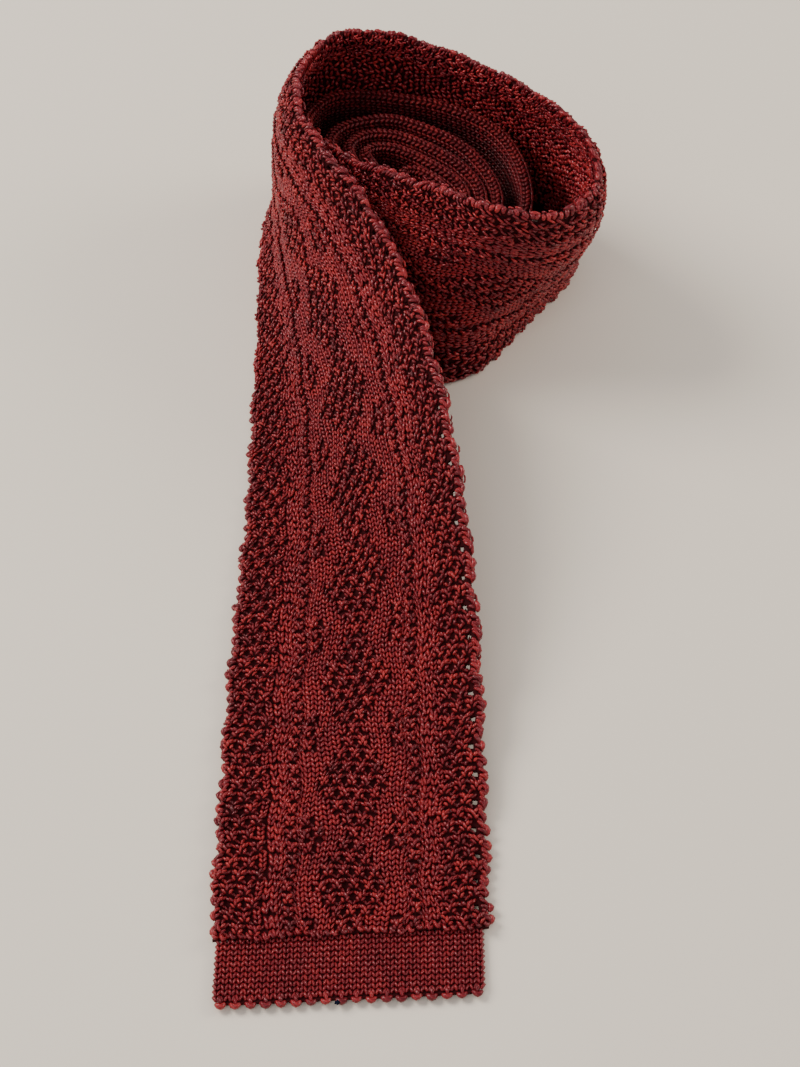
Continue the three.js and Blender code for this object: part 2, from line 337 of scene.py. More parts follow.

# %% [markdown]
# ## Silk yarn
# The yarn is a dark brick red silk with a soft shine. Each strand has its own tone, so the knit
# looks spun and not cast. The map around and along each strand carries the fine slanting lines
# of the twisted plies, as colour and as bump; their darker grooves are painted shade. The ground
# cloth between the strands is painted nearly black red: painted shade in the gaps of the knit.
# Lighter and darker copies of the yarn paint light on the blade's back and shade on the inner
# turns.

# %% Materials
YARN_DARK = (0.060, 0.0026, 0.0060)
YARN_RED = (0.245, 0.0080, 0.0160)
YARN_WARM = (0.52, 0.032, 0.032)
PATCHES_PER_METRE = 70          # broad patches of a slightly darker or warmer red
PATCH_DEPTH = 0.55
PLY_SLANT = 38                  # degrees between the ply lines and the strand
PLY_LINES = 1.6
PLY_STRAY = 1.2
PLY_SHADE = 0.45                # how much darker the lines are: painted shade in the grooves between the plies
PLY_BUMP = 0.35
PLY_DEPTH = 0.15 * MM
GRAINS_PER_METRE = 900          # the ground cloth's fine grain
GRAIN_BUMP = 0.6
GRAIN_DEPTH = 0.2 * MM


def link_nodes(tree, source, output, target, entry):
    tree.links.new(source.outputs[output], target.inputs[entry])


def silk_yarn(name, brightness, shine, roughness=0.34):
    """Red silk. The tone is the strand's own, with broad soft patches over it; on the neck band the
    tone also holds painted shade. Fine ply lines run round the strand; their darker grooves are
    painted shade. The brightness makes lighter and darker copies, which paint light and shade."""
    finish = bpy.data.materials.new(name)
    finish.use_nodes = True
    tree = finish.node_tree
    shader = tree.nodes["Principled BSDF"]
    shader.inputs["Roughness"].default_value = roughness
    shader.inputs["Sheen Weight"].default_value = 0.05
    shader.inputs["Sheen Roughness"].default_value = 0.45
    shader.inputs["Sheen Tint"].default_value = (1.0, 0.35, 0.30, 1)
    shader.inputs["Specular IOR Level"].default_value = shine
    shader.inputs["Specular Tint"].default_value = (1.0, 0.60, 0.60, 1)

    tone = tree.nodes.new("ShaderNodeAttribute")
    tone.attribute_name = "tone"
    ramp = tree.nodes.new("ShaderNodeValToRGB")
    ramp.color_ramp.elements[0].position = 0.0
    ramp.color_ramp.elements[0].color = [c * brightness for c in YARN_DARK] + [1]
    ramp.color_ramp.elements[1].position = 1.0
    ramp.color_ramp.elements[1].color = [c * brightness for c in YARN_WARM] + [1]
    middle = ramp.color_ramp.elements.new(0.5)
    middle.color = [c * brightness for c in YARN_RED] + [1]
    place = tree.nodes.new("ShaderNodeTexCoord")
    patches = tree.nodes.new("ShaderNodeTexNoise")
    patches.inputs["Scale"].default_value = PATCHES_PER_METRE
    link_nodes(tree, place, "Object", patches, "Vector")
    centred = tree.nodes.new("ShaderNodeMath")
    centred.operation = "SUBTRACT"
    centred.inputs[1].default_value = 0.5
    tree.links.new(patches.outputs["Fac"], centred.inputs[0])
    patched = tree.nodes.new("ShaderNodeMath")
    patched.operation = "MULTIPLY_ADD"
    patched.inputs[1].default_value = PATCH_DEPTH
    tree.links.new(centred.outputs[0], patched.inputs[0])
    tree.links.new(tone.outputs["Fac"], patched.inputs[2])
    tree.links.new(patched.outputs[0], ramp.inputs["Fac"])

    strand_map = tree.nodes.new("ShaderNodeUVMap")
    strand_map.uv_map = "strand"
    turn = tree.nodes.new("ShaderNodeMapping")
    turn.inputs["Rotation"].default_value = (0, 0, math.radians(PLY_SLANT))
    link_nodes(tree, strand_map, "UV", turn, "Vector")
    plies = tree.nodes.new("ShaderNodeTexWave")
    plies.inputs["Scale"].default_value = PLY_LINES
    plies.inputs["Distortion"].default_value = PLY_STRAY
    link_nodes(tree, turn, "Vector", plies, "Vector")

    # painted shade: the ply lines darken the colour in the grooves between the plies
    shade = tree.nodes.new("ShaderNodeMix")
    shade.data_type = "RGBA"
    shade.blend_type = "MULTIPLY"
    shade.inputs["Factor"].default_value = PLY_SHADE
    # the mix has sockets of the same name for each kind of data; these are the colored ones
    color_a, color_b, color_out = shade.inputs[6], shade.inputs[7], shade.outputs[2]
    tree.links.new(ramp.outputs["Color"], color_a)
    tree.links.new(plies.outputs["Color"], color_b)
    tree.links.new(color_out, shader.inputs["Base Color"])

    bump = tree.nodes.new("ShaderNodeBump")
    bump.inputs["Strength"].default_value = PLY_BUMP
    bump.inputs["Distance"].default_value = PLY_DEPTH
    link_nodes(tree, plies, "Fac", bump, "Height")
    link_nodes(tree, bump, "Normal", shader, "Normal")
    return finish


def ground_cloth(name, color):
    """A matte finish with a fine grain. On the knit's ground its near-black red is painted shade in
    the gaps between the strands; the navy thread keeps its own colour.
    """
    finish = bpy.data.materials.new(name)
    finish.use_nodes = True
    tree = finish.node_tree
    shader = tree.nodes["Principled BSDF"]
    shader.inputs["Roughness"].default_value = 0.9
    shader.inputs["Specular IOR Level"].default_value = 0.1
    place = tree.nodes.new("ShaderNodeTexCoord")
    noise = tree.nodes.new("ShaderNodeTexNoise")
    noise.inputs["Scale"].default_value = GRAINS_PER_METRE
    link_nodes(tree, place, "Object", noise, "Vector")
    ramp = tree.nodes.new("ShaderNodeValToRGB")
    ramp.color_ramp.elements[0].color = [c * 0.5 for c in color] + [1]
    ramp.color_ramp.elements[1].color = [c * 1.5 for c in color] + [1]
    link_nodes(tree, noise, "Fac", ramp, "Fac")
    link_nodes(tree, ramp, "Color", shader, "Base Color")
    bump = tree.nodes.new("ShaderNodeBump")
    bump.inputs["Strength"].default_value = GRAIN_BUMP
    bump.inputs["Distance"].default_value = GRAIN_DEPTH
    link_nodes(tree, noise, "Fac", bump, "Height")
    link_nodes(tree, bump, "Normal", shader, "Normal")
    return finish


blade_yarn = silk_yarn("blade_silk_yarn", 1.0, 0.66)
# painted light: the blade's back is a lighter, shinier copy of the same yarn
back_yarn_painted_lighter = silk_yarn("blade_back_silk_yarn_painted_lighter", 1.25, 0.80)
# painted shade: the inner turns are a darker, duller copy of the same yarn
neck_yarn_painted_darker = silk_yarn("neck_silk_yarn_painted_darker", 0.60, 0.40, roughness=0.42)
hem_yarn = silk_yarn("hem_silk_yarn", 0.95, 0.62)
# painted shade: the ground's near-black red stands in for the shade in the gaps of the knit
painted_shade_ground = ground_cloth("knit_ground_painted_shade", (0.034, 0.0028, 0.0040))
print("materials:", blade_yarn.name, back_yarn_painted_lighter.name, neck_yarn_painted_darker.name, hem_yarn.name)

# %% [markdown]
# ## Strands
# Every stitch is made of strands: short, plump, curved grains of yarn. A strand starts as a ball
# with few faces, from Blender's own ball operator. Its poles become the strand's two ends. A
# strand is given by three places in the cloth, a thickness and a tone, and the ball is bent
# through them. Thousands of strands are bent at once as arrays and joined into one mesh.

# %% The ball that each strand is bent from
def strand_ball(sides, bands):
    """Points, faces and map of one ball with its poles on the z axis."""
    bm = bmesh.new()
    uv_layer = bm.loops.layers.uv.new("strand")
    bmesh.ops.create_uvsphere(
        bm, u_segments=sides, v_segments=bands, radius=1, calc_uvs=True,
    )
    bmesh.ops.recalc_face_normals(bm, faces=bm.faces[:])
    points = np.array([v.co[:] for v in bm.verts])
    corners, totals, mapped = [], [], []
    for face in bm.faces:
        totals.append(len(face.loops))
        for loop in face.loops:
            corners.append(loop.vert.index)
            mapped.append(loop[uv_layer].uv[:])
    bm.free()
    return points, np.array(corners), np.array(totals), np.array(mapped)


KNOB_BALL = strand_ball(5, 6)
FINE_BALL = strand_ball(4, 4)
PLAIN_BALL = strand_ball(4, 3)
print("faces in a fine strand:", len(FINE_BALL[2]), "in a plain one:", len(PLAIN_BALL[2]))

# %% Bend the strands and join them
FULLNESS = 0.55                 # below 1, the strand's ends are blunter than an ellipse
UPRIGHT = 0.05                  # a strand that stands up straighter than this gets a fixed side


def bend_strands(strands, ball):
    """Cloth places of every point of every strand: strands are rows of three places, then the
    thickness and the tone."""
    points = ball[0]
    t = (1 - points[:, 2]) / 2
    ring = np.hypot(points[:, 0], points[:, 1])
    spoke = points[:, :2] / np.maximum(ring, 1e-9)[:, None]
    full = np.where(ring > 1e-6, ring, 0) ** FULLNESS
    first, bend, end = strands[:, 0:3], strands[:, 3:6], strands[:, 6:9]
    radius = strands[:, 9]
    t = t[None, :, None]
    line = first[:, None] * (1 - t) ** 2 + bend[:, None] * 2 * t * (1 - t) + end[:, None] * t ** 2
    way = (bend - first)[:, None] * (1 - t) + (end - bend)[:, None] * t
    way /= np.linalg.norm(way, axis=2, keepdims=True) + 1e-12
    side = np.cross(way, np.array([0.0, 0.0, 1.0]))
    length = np.linalg.norm(side, axis=2, keepdims=True)
    side = np.where(length > UPRIGHT, side / np.maximum(length, 1e-9), np.array([0.0, 1.0, 0.0]))
    top = np.cross(side, way)
    reach = (radius[:, None] * full[None])[:, :, None]
    return line + reach * (side * spoke[None, :, 0:1] + top * spoke[None, :, 1:2])


def join_strands(name, strands, ball, lay, finish):
    """One mesh object of many strands, laid on the cloth."""
    strands = np.array(strands)
    bent = bend_strands(strands, ball)
    count, size = bent.shape[:2]
    world_places = lay(bent.reshape(-1, 3))
    mesh = bpy.data.meshes.new(name)
    corners, totals = ball[1], ball[2]
    mesh.vertices.add(count * size)
    mesh.vertices.foreach_set("co", world_places.astype(np.float32).ravel())
    loops = (corners[None] + size * np.arange(count)[:, None]).ravel()
    mesh.loops.add(len(loops))
    mesh.loops.foreach_set("vertex_index", loops.astype(np.int32))
    all_totals = np.tile(totals, count)
    mesh.polygons.add(len(all_totals))
    starts = np.concatenate([[0], np.cumsum(all_totals)[:-1]])
    mesh.polygons.foreach_set("loop_start", starts.astype(np.int32))
    mesh.polygons.foreach_set("use_smooth", np.ones(len(all_totals), dtype=bool))
    mesh.update(calc_edges=True)
    strand_map = mesh.uv_layers.new(name="strand")
    mapped = np.tile(ball[3], (count, 1))
    mapped[:, 1] += np.repeat(np.random.default_rng(3).random(count), len(corners))
    strand_map.data.foreach_set("uv", mapped.astype(np.float32).ravel())
    tone = mesh.attributes.new("tone", "FLOAT", "POINT")
    tone.data.foreach_set("value", np.repeat(strands[:, 10], size).astype(np.float32))
    mesh.materials.append(finish)
    joined = bpy.data.objects.new(name, mesh)
    bpy.context.scene.collection.objects.link(joined)
    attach(joined, "root")
    triangles = count * int((totals - 2).sum())
    print(name, count, "strands,", triangles, "triangles")
    return joined


# %% [markdown]
# ## Stitches
# Four things are knitted here. A plain stitch is a V of two legs. A bead is a raised heap: two
# Vs, one above the other, a heart strand over them, and low arms to the beads beside it, with
# the dark holes of the knit between the arms. A curl is the back of a stitch. An edge knob is a
# plump strand along the edge of the cloth with thinner ones round it. Each function adds strands
# to a list; a little chance in place, thickness and tone keeps them from looking printed.

# %% Functions for the stitches
chance = random.Random(11)
PLACE_STRAY = 0.10 * MM         # how far a strand's three places may be off
THICK_STRAY = 0.12              # and its thickness, as a share
BEAD_HIGH = 1.0 * MM            # how far a bead stands out of the ground
BEAD_LEG = 0.36 * MM
BEAD_ARM = 0.40 * MM
ARM_ROOM = 0.55                 # an arm needs this share of the bead's width before the edge


def wobble(amount):
    return chance.uniform(-amount, amount)


def add_strand(strands, first, bend, end, radius, tone=0.5, stray=0.28):
    row = [c + wobble(PLACE_STRAY) for c in (*first, *bend, *end)]
    thickness = radius * (1 + wobble(THICK_STRAY))
    strands.append(row + [thickness, min(1, max(0, tone + wobble(stray)))])


def add_plain_stitch(strands, x, s, width, step, radius, ground, face=1, tone=0.6, stray=0.22):
    """A V that opens away from the hem; face is 1 on the front and -1 on the back."""
    for side in (-1, 1):
        top = (x + side * 0.44 * width, s + 0.62 * step, face * ground)
        bend = (x + side * 0.30 * width, s + 0.08 * step, face * (ground + 1.5 * radius))
        foot = (x + side * 0.06 * width, s - 0.50 * step, face * (ground + 0.3 * radius))
        add_strand(strands, top, bend, foot, radius, tone, stray)


def add_bead(strands, x, s, width, step, ground, open_share, edge_room, turn, face=1):
    """Two Vs of bowed legs, arms and a heart strand. No two beads lean alike, up to the turn. The
    open share is how far apart the legs are. The edge room is how far the cloth goes on to the
    left and to the right; arms that would pass the edge are left out."""
    lean = wobble(turn)
    own = wobble(0.16)
    x = x + wobble(0.12 * MM)
    s = s + wobble(0.12 * MM)
    high = ground + BEAD_HIGH + chance.uniform(0, BEAD_HIGH / 2)

    def at(across, up, height):
        return (x + (across + lean * up * 0.6) * width, s + (up - lean * across * 0.5) * step,
                face * height)

    for side in (-1, 1):
        for low in (0.02, -0.40):
            leg = (at(side * open_share, low + 0.38, ground + 0.3 * MM),
                   at(side * 0.70 * open_share, low + 0.14, high + 0.5 * MM),
                   at(side * 0.08, low, ground + 0.6 * MM))
            add_strand(strands, *leg, BEAD_LEG, 0.62 + own)
        if edge_room[(side + 1) // 2] < ARM_ROOM * width:
            continue
        for up in (-1, 1):
            arm = (at(side * 0.16, up * 0.20, ground), at(side * 0.36, up * 0.26, ground + 0.3 * MM),
                   at(side * 0.50, up * 0.54, ground - 0.1 * MM))
            add_strand(strands, *arm, BEAD_ARM, 0.48)
    slope = wobble(0.16)
    heart = (at(-slope, 0.30, high - 0.5 * MM), at(wobble(0.1), 0.0, high + 0.2 * MM),
             at(slope, -0.26, high - 0.5 * MM))
    add_strand(strands, *heart, BEAD_ARM, 0.52 + own)


def add_curl(strands, x, s, size, ground, face=-1):
    """The back of a stitch: one plump bowed strand that lies any way, and across every other one
    a small strand."""
    turns = [(wobble(1.3), 1.0), (1.6 + wobble(0.7), 0.62)]
    for turn, share in turns[:chance.choice((1, 2))]:
        dx, dy = 0.62 * size * share * math.cos(turn), 0.62 * size * share * math.sin(turn)
        high = ground + 0.8 * MM + wobble(0.35 * MM)
        middle = (x + wobble(0.2 * size), s + wobble(0.2 * size), face * high)
        first = (x - dx, s - dy, face * (ground - 0.1 * MM))
        end = (x + dx, s + dy, face * (ground - 0.1 * MM))
        add_strand(strands, first, middle, end, 0.27 * size, 0.58)


def add_edge_knob(strands, edge, outward, s, step):
    """A lump on the edge of the cloth: a plump strand along it with two round it, then a thin one
    in the dip before the next lump. Edge is x, outward is -1 or 1."""
    y = s + wobble(0.10) * step
    out = edge + outward * (wobble(0.3) - 0.45) * MM
    first = (out, y + (0.32 + wobble(0.06)) * step, wobble(0.4 * MM))
    bend = (out + outward * (1.2 + wobble(0.5)) * MM, y, 0.4 * MM + wobble(0.5 * MM))
    end = (out, y - (0.32 + wobble(0.06)) * step, wobble(0.4 * MM))
    add_strand(strands, first, bend, end, 0.62 * MM, 0.55)
    for place, reach, thick in ((-0.16, 1.3, 0.54), (0.18, 1.1, 0.54), (0.5, 0.1, 0.50)):
        slant = (0.14 + wobble(0.16)) * step
        ring = y + (place + wobble(0.05)) * step
        first = (edge - outward * 1.6 * MM, ring + slant, 1.2 * MM)
        bend = (edge + outward * (reach + wobble(0.5)) * MM, ring, 0.5 * MM)
        end = (edge - outward * 1.4 * MM, ring - slant, -1.0 * MM)
        add_strand(strands, first, bend, end, thick * MM, 0.5)


# %% [markdown]
# ## The blade's pattern
# The blade is 36 stitches wide. Down its middle runs a panel of diamonds: each has rows of one
# to five beads and back again, and a zigzag band of plain stitches lies round them, with a few
# beads in its outer corners. On either side comes a rib of single beads, two columns of plain
# stitches, and an open mesh of beads set like bricks, as far as the edge. The chart below counts
# in columns and bead rows.

# %% The chart
COLUMNS = 36
COLUMN = BLADE_WIDTH / COLUMNS
BEAD_STEP = 3.55 * MM           # from one bead row to the next
PLAIN_STEP = BEAD_STEP * 2 / 5  # five plain rows stand beside two bead rows
GROUND = 0.72 * MM              # how far the strands' ends lie off the cloth's middle
PANEL_CENTRE = 18.15            # column of the diamonds' middle
PANEL_REACH = 7                 # whole columns from there to the panel's sides
DIAMOND_ROWS = 8                # bead rows from one diamond to the next
DIAMOND_PHASE = 3               # bead row of the first widest row
# Beside rows of 1, 2 and 3 or more beads: where the band of plain stitches ends, in columns from
# the middle, and the beads outside it, which make small triangles against the rib
BAND_ENDS = {1: 3.6, 2: 5.1, 3: 7.0}
OUTER_BEADS = {1: (4.75, 6.4), 2: (6.2,), 3: ()}
RIB = 8.15                      # columns from the panel's centre to the rib of beads
PLAIN_PAIR = 10.35              # and to the middle of the two plain columns
PANEL_BEAD, OUTER_BEAD, RIB_BEAD, MESH_BEAD = 2.0, 1.8, 1.9, 2.4    # widths, in columns
PANEL_OPEN, MESH_OPEN = 0.28, 0.30      # how far apart a bead's legs are
BEAD_TURN = 0.26
PLAIN_THICK = 0.38 * MM
MESH_LEFT = {0: (0.9, 3.2, 5.5), 1: (2.05, 4.35)}
MESH_RIGHT = {0: (30.4, 32.4, 34.5), 1: (31.2, 33.4)}
MESH_FILL = {0: (), 1: (6.1, 29.75)}
RIB_FILL = (-9.35, -7.0, 7.0, 9.35)     # columns from the panel's centre to the sunk fillings


def beads_across(row):
    """Beads side by side in the diamond at a bead row: 5 where it is widest, 1 between."""
    half_turn = DIAMOND_ROWS / 2
    return 5 - abs((row - DIAMOND_PHASE - half_turn) % DIAMOND_ROWS - half_turn)


bead_rows = int(BLADE_LENGTH / BEAD_STEP)
for row in range(DIAMOND_ROWS):
    print("bead row", row, "diamond of", int(beads_across(row)), "beads")

# %% Knit the front of the blade
HIDDEN_FROM = row_length(20.8)  # from here on, the lower part of the blade is inside the coil
HIDDEN_COLUMN = 23
SUNK = 0.25 * MM                # the fillings beside the rib lie this much lower


def knit_blade_front(first_row, end_row):
    """The beads and the columns beside them, then the plain rows of the zigzag band."""
    strands = []
    for row in range(first_row, end_row):
        s = (row + 0.5) * BEAD_STEP
        low_column = HIDDEN_COLUMN if s > HIDDEN_FROM else 0
        across = beads_across(row)
        beads = [(PANEL_CENTRE + c, PANEL_BEAD, PANEL_OPEN) for c in np.arange(1 - across, across, 2)]
        for side in (-1, 1):
            for column in OUTER_BEADS[min(int(across), 3)]:
                beads.append((PANEL_CENTRE + side * column, OUTER_BEAD, PANEL_OPEN))
            beads.append((PANEL_CENTRE + side * RIB, RIB_BEAD, PANEL_OPEN))
        for column in MESH_LEFT[row % 2] + MESH_RIGHT[row % 2]:
            beads.append((column, MESH_BEAD, MESH_OPEN))
        for column, wide, opened in beads:
            if column < low_column:
                continue
            x = column * COLUMN
            room = (x, BLADE_WIDTH - x)
            add_bead(strands, x, s, wide * COLUMN, BEAD_STEP, GROUND, opened, room, BEAD_TURN)
        for column in MESH_FILL[row % 2]:
            for k in (0.15, 0.5, 0.85):
                x, y = column * COLUMN, (row + k) * BEAD_STEP
                add_plain_stitch(strands, x, y, COLUMN, BEAD_STEP / 3, PLAIN_THICK, GROUND)
        for column in RIB_FILL:
            for k in (0.2, 0.7):
                x, y = (PANEL_CENTRE + column) * COLUMN, (row + k) * BEAD_STEP
                low = GROUND - SUNK
                add_plain_stitch(strands, x, y, 0.9 * COLUMN, BEAD_STEP / 2, BEAD_LEG, low)
        for side in (-1, 1):
            column = PANEL_CENTRE + side * PLAIN_PAIR
            if column < low_column:
                continue
            for k in (0.26, 0.76):
                for shift in (-0.5, 0.5):
                    x = (column + shift + wobble(0.16)) * COLUMN
                    y = (row + k + wobble(0.10)) * BEAD_STEP
                    high = GROUND + wobble(SUNK)
                    add_plain_stitch(strands, x, y, COLUMN, BEAD_STEP / 2, BEAD_ARM, high)
    first = math.ceil(first_row * BEAD_STEP / PLAIN_STEP)
    end = math.ceil(end_row * BEAD_STEP / PLAIN_STEP)
    for row in range(first, end):
        s = (row + 0.5) * PLAIN_STEP
        low_column = HIDDEN_COLUMN if s > HIDDEN_FROM else 0
        across = beads_across(int(s / BEAD_STEP))
        band_end = BAND_ENDS[min(int(across), 3)]
        for k in range(-PANEL_REACH, PANEL_REACH):
            c = k + 0.5
            if across - 0.4 < abs(c) < band_end and PANEL_CENTRE + c > low_column:
                x = (PANEL_CENTRE + c) * COLUMN
                add_plain_stitch(strands, x, s, COLUMN, PLAIN_STEP, PLAIN_THICK, GROUND)
    return strands


BLADE_PARTS = 4
for part in range(BLADE_PARTS):
    first_row = part * bead_rows // BLADE_PARTS
    end_row = (part + 1) * bead_rows // BLADE_PARTS
    knitted = knit_blade_front(first_row, end_row)
    join_strands(
        f"blade_stitches_{part + 1}", knitted, FINE_BALL, lay_on_blade, blade_yarn,
    )

# %% Knobs along both edges and along the blade's end
edge_strands = []
END_LOOPS = 17                  # along the free end, two strands in each
for loop in range(END_LOOPS):
    x = (loop + 0.5) * BLADE_WIDTH / END_LOOPS
    for shift, thick in ((-0.8 * MM, 0.50 * MM), (0.8 * MM, 0.46 * MM)):
        first = (x + shift - 0.7 * MM, 1.4 * MM, 1.0 * MM)
        bend = (x + shift, -1.7 * MM + wobble(0.9 * MM), 1.5 * MM)
        end = (x + shift + 0.7 * MM, 1.0 * MM, 0.2 * MM)
        add_strand(edge_strands, first, bend, end, thick, 0.55)
for row in range(bead_rows):
    add_edge_knob(edge_strands, 0.0, -1, (row + 0.75) * BEAD_STEP, BEAD_STEP)
    add_edge_knob(edge_strands, BLADE_WIDTH, 1, (row + 0.5) * BEAD_STEP, BEAD_STEP)
edge_knobs = join_strands("blade_edge_knobs", edge_strands, KNOB_BALL, lay_on_blade, blade_yarn)

# %% [markdown]
# ## The blade's back
# Inside the coil's outer turn the back of the blade shows above the inner turns. It is knitted
# plainer: a few columns of beads along the rim, then small curls. The table says how far down
# the curls go, since deeper parts are behind the inner turns or against the floor. Its yarn is a
# lighter, shinier copy of the blade's: painted light.

# %% Knit the back of the blade
# from which row of the strip, and how many columns are made from the rim down
BACK_DEPTHS = [
    (3.0, 32),
    (9.6, 21),
    (12.3, 33),
    (18.2, 22),
    (20.8, 14),
]
BACK_FROM, BACK_TO = row_length(3.0), BLADE_LENGTH
RIM_BEADS = {0: (35.3, 33.2, 31.2), 1: (34.3, 32.2)}
RIM_COLUMNS = 5
RIM_BEAD = 2.0 * COLUMN
RIM_OPEN = 0.36
RIM_TURN = 1.1
back_strands = []
for row in range(int(BACK_FROM / BEAD_STEP), int(BACK_TO / BEAD_STEP)):
    s = (row + 0.5) * BEAD_STEP
    for column in RIM_BEADS[row % 2]:
        x = column * COLUMN
        room = (x, BLADE_WIDTH - x)
        add_bead(back_strands, x, s, RIM_BEAD, BEAD_STEP, GROUND, RIM_OPEN, room, RIM_TURN, face=-1)
CURL_STEP = BEAD_STEP / 2
CURL_PITCH = 1.15               # columns from one curl to the next
CURL_STRAY = 0.3 * MM
for row in range(int(BACK_FROM / CURL_STEP) + 1, int(BACK_TO / CURL_STEP)):
    s = (row + 0.5) * CURL_STEP
    columns = [depth for from_row, depth in BACK_DEPTHS if s >= row_length(from_row)][-1]
    for k in range(int((columns - RIM_COLUMNS) / CURL_PITCH)):
        column = COLUMNS - RIM_COLUMNS - CURL_PITCH * (k + 0.5 * (row % 2))
        x = column * COLUMN + wobble(CURL_STRAY)
        add_curl(back_strands, x, s + wobble(CURL_STRAY), CURL_STEP, GROUND)
blade_back = join_strands("blade_back_stitches", back_strands, PLAIN_BALL, lay_on_blade, back_yarn_painted_lighter)

# %% [markdown]
# ## The blade's ground cloth
# Under the strands lies a thin dark sheet. It is a flat grid, laid on the strip and given its
# thickness by Solidify. Near the right edge, one small face is left out in every second bead
# row, so the floor shows through as it does in the photo.

# %% The ground sheet with its see-through holes
HOLE_COLUMN = (34.15, 34.85)
HOLE_SHARE = 0.40               # length of a hole, as a share of a bead row
GROUND_CLOTH = 0.9 * MM
GROUND_EDGE = 0.4 * MM          # the ground ends this far inside the blade's edges
NEAR = 0.1 * MM


def cloth_object(name, bm, lay, finish):
    """Lay a flat cloth's vertices and make the object of it."""
    flat_points = np.array([v.co[:] for v in bm.verts])
    laid = lay(flat_points)
    for vert, place in zip(bm.verts, laid):
        vert.co = place
    for face in bm.faces:
        face.smooth = True
    mesh = bpy.data.meshes.new(name)
    bm.to_mesh(mesh)
    bm.free()
    mesh.materials.append(finish)
    cloth = bpy.data.objects.new(name, mesh)
    bpy.context.scene.collection.objects.link(cloth)
    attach(cloth, "root")
    return cloth


def set_grid_lines(bm, xs, ys):
    """Move the lines of a unit grid to the given places."""
    for vert in bm.verts:
        i = round((vert.co.x + 1) / 2 * (len(xs) - 1))
        j = round((vert.co.y + 1) / 2 * (len(ys) - 1))
        vert.co = (xs[i], ys[j], 0)


x_lines = [GROUND_EDGE] + [k * COLUMN for k in range(2, 33, 2)] + [33.3 * COLUMN]
x_lines += [HOLE_COLUMN[0] * COLUMN, HOLE_COLUMN[1] * COLUMN, BLADE_WIDTH - GROUND_EDGE]
y_lines = [0.0]
for row in range(bead_rows):
    for part_of_row in (0.5 - HOLE_SHARE / 2, 0.5 + HOLE_SHARE / 2):
        y_lines.append((row + part_of_row) * BEAD_STEP)
y_lines.append(BLADE_LENGTH)

ground_bm = bmesh.new()
bmesh.ops.create_grid(
    ground_bm, x_segments=len(x_lines) - 1, y_segments=len(y_lines) - 1, size=1,
)
set_grid_lines(ground_bm, x_lines, y_lines)
hole_x = sum(HOLE_COLUMN) / 2 * COLUMN
holes = []
for face in ground_bm.faces:
    middle_point = face.calc_center_median()
    row = int(middle_point.y / BEAD_STEP)
    if row % 2 == 0 or abs(middle_point.x - hole_x) > NEAR:
        continue
    if abs(middle_point.y - (row + 0.5) * BEAD_STEP) < NEAR:
        holes.append(face)
print("see-through holes:", len(holes))
bmesh.ops.delete(ground_bm, geom=holes, context="FACES")
# painted shade: this sheet's near-black colour stands in for the shade between the strands
blade_ground = cloth_object("blade_ground", ground_bm, lay_on_blade, painted_shade_ground)
thickness = blade_ground.modifiers.new("thickness", "SOLIDIFY")
thickness.thickness = GROUND_CLOTH
thickness.offset = 0

# %% [markdown]
# ## The neck band
# The inner turns are the narrow, plain part of the tie, folded double, so they have a rounded
# top. The band's ground is a flat tube: a grid is rolled round a stadium-shaped section and
# closed. Plain stitches run along it, over the rounded top and down the inner side as far as the
# eye reaches. Their yarn is a darker, duller copy, and each column below the top is darker
# still: painted shade inside the coil.

# %% Rolling a sheet round a flat tube
NECK_HALF = 1.05 * MM           # half the thickness of the tube's ground
NECK_COLUMNS = 17
NECK_COLUMN = NECK_WIDTH / NECK_COLUMNS
NECK_START = BLADE_LENGTH + SEAM_GAP
NECK_EDGE = 0.45 * MM           # the tube's edge lies this far inside the band's edge
TOP_LINE = NECK_WIDTH - NECK_EDGE - NECK_HALF
FOOT_LINE = NECK_EDGE + NECK_HALF
FLAT_SIDE = TOP_LINE - FOOT_LINE    # girth of a flat side
OVER = math.pi * NECK_HALF          # girth of the round top, and of the round foot


def lay_on_neck(points):
    """Girth g starts at the foot of the front, goes up it, over the top and down the back; then
    comes the length along and the height off the tube."""
    g, s, out = points[:, 0], points[:, 1], points[:, 2]
    radius = NECK_HALF + out
    x = FOOT_LINE + g
    h = radius
    turn_angle = np.clip(g - FLAT_SIDE, 0, OVER) / NECK_HALF
    on_top = g > FLAT_SIDE
    x = np.where(on_top, TOP_LINE + radius * np.sin(turn_angle), x)
    h = np.where(on_top, radius * np.cos(turn_angle), h)
    on_back = g > FLAT_SIDE + OVER
    x = np.where(on_back, TOP_LINE - (g - FLAT_SIDE - OVER), x)
    h = np.where(on_back, -radius, h)
    under = g > 2 * FLAT_SIDE + OVER
    foot_angle = np.clip(g - 2 * FLAT_SIDE - OVER, 0, OVER) / NECK_HALF
    x = np.where(under, FOOT_LINE - radius * np.sin(foot_angle), x)
    h = np.where(under, -radius * np.cos(foot_angle), h)
    return lay_on_strip(x, s, h, NECK_WIDTH)


